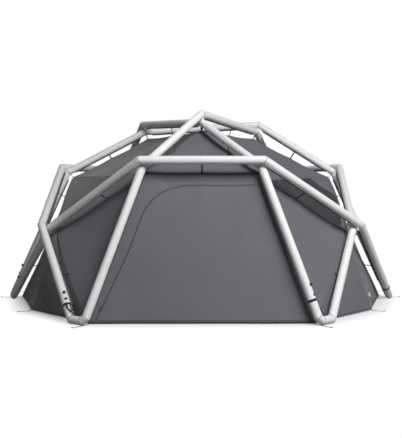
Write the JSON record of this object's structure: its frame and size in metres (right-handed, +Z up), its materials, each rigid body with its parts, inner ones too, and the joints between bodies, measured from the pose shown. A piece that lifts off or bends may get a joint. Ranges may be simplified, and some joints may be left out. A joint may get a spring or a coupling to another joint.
{
  "type": "inflatable tent",
  "caption": "Inflatable geodesic dome tent: woven grey air tubes outside, dark grey panelled fly hung inside them, zipped front door, pegged hem.",
  "frame": {"origin": "on the ground under the crown, on the underside of the groundsheet, where the three-fold axis meets it", "axes": "+X to the right as the picture shows the tent, along its widest extent; +Y from the door to the rear; +Z up"},
  "size_m": [3.434, 3.0836, 1.5335],
  "materials": {
    "tube_fabric": "smooth light grey woven sleeve",
    "bladder_film": "translucent film",
    "fly_fabric": "dark grey coated ripstop",
    "floor_fabric": "coated floor cloth",
    "webbing": "black webbing",
    "valve_plastic": "black moulded",
    "zip_metal": "black enamel",
    "pegging_point": "dark webbing with a steel peg head"
  },
  "bodies": {
    "shell": {"air_loop_bladder_1": "bladder_film", "air_loop_bladder_2": "bladder_film", "air_loop_bladder_3": "bladder_film", "corner_peg_1": "pegging_point", "corner_peg_2": "pegging_point", "corner_peg_3": "pegging_point", "corner_peg_4": "pegging_point", "corner_peg_5": "pegging_point", "corner_peg_6": "pegging_point", "corner_strap_1": "webbing", "corner_strap_2": "webbing", "corner_strap_3": "webbing", "corner_strap_4": "webbing", "corner_strap_5": "webbing", "corner_strap_6": "webbing", "crown_arch_sleeve_1": "tube_fabric", "crown_arch_sleeve_2": "tube_fabric", "crown_arch_sleeve_3": "tube_fabric", "flank_panel_left_far": "fly_fabric", "flank_panel_left_near": "fly_fabric", "flank_panel_rear_far": "fly_fabric", "flank_panel_rear_near": "fly_fabric", "flank_panel_right_far": "fly_fabric", "flank_panel_right_near": "fly_fabric", "front_door_surround": "fly_fabric", "gable_panel_front": "fly_fabric", "gable_panel_left": "fly_fabric", "gable_panel_right": "fly_fabric", "groundsheet": "floor_fabric", "middle_peg_1": "pegging_point", "middle_peg_2": "pegging_point", "middle_peg_3": "pegging_point", "roof_panel_left": "fly_fabric", "roof_panel_rear": "fly_fabric", "roof_panel_right": "fly_fabric", "side_arch_sleeve_1": "tube_fabric", "side_arch_sleeve_2": "tube_fabric", "side_arch_sleeve_3": "tube_fabric", "skirt_panel_left": "fly_fabric", "skirt_panel_rear": "fly_fabric", "skirt_panel_right": "fly_fabric", "top_panel": "fly_fabric", "valve_1": "valve_plastic", "valve_2": "valve_plastic", "valve_3": "valve_plastic", "valve_4": "valve_plastic", "valve_5": "valve_plastic", "valve_6": "valve_plastic", "wall_panel_left": "fly_fabric", "wall_panel_right": "fly_fabric"},
    "door": {"door_flap": "fly_fabric"},
    "slider": {"zip_slider": "zip_metal"},
    "cap_1": {"valve_cap_1": "valve_plastic"},
    "cap_2": {"valve_cap_2": "valve_plastic"},
    "cap_3": {"valve_cap_3": "valve_plastic"},
    "cap_4": {"valve_cap_4": "valve_plastic"},
    "cap_5": {"valve_cap_5": "valve_plastic"},
    "cap_6": {"valve_cap_6": "valve_plastic"}
  },
  "joints": [
    {"name": "door_hinge", "type": "hinge", "parent": "shell", "child": "door", "pos_m": [0.74481, -1.32762, 0.01], "axis": [-0.3271, 0.2353, 0.9152], "range_deg": [0, 90]},
    {"name": "zip_run", "type": "slide", "parent": "shell", "child": "slider", "axis": [0.4038, 0.2278, 0.886], "range_m": [0, 0.427]},
    {"name": "cap_1_turn", "type": "hinge", "parent": "shell", "child": "cap_1", "pos_m": [0.707, -1.33965, 0.26059], "axis": [0.8043, -0.434, 0.4059], "continuous": true},
    {"name": "cap_2_turn", "type": "hinge", "parent": "shell", "child": "cap_2", "pos_m": [0.80667, 1.2821, 0.26059], "axis": [-0.0263, 0.9135, 0.4059], "continuous": true},
    {"name": "cap_3_turn", "type": "hinge", "parent": "shell", "child": "cap_3", "pos_m": [-1.51367, 0.05755, 0.26059], "axis": [-0.778, -0.4795, 0.4059], "continuous": true},
    {"name": "cap_4_turn", "type": "hinge", "parent": "shell", "child": "cap_4", "pos_m": [-0.96692, -1.17572, 0.17629], "axis": [0.1935, -0.6408, 0.743], "continuous": true},
    {"name": "cap_5_turn", "type": "hinge", "parent": "shell", "child": "cap_5", "pos_m": [1.50166, -0.24951, 0.17629], "axis": [0.4582, 0.488, 0.743], "continuous": true},
    {"name": "cap_6_turn", "type": "hinge", "parent": "shell", "child": "cap_6", "pos_m": [-0.53475, 1.42524, 0.17629], "axis": [-0.6517, 0.1528, 0.743], "continuous": true}
  ]
}
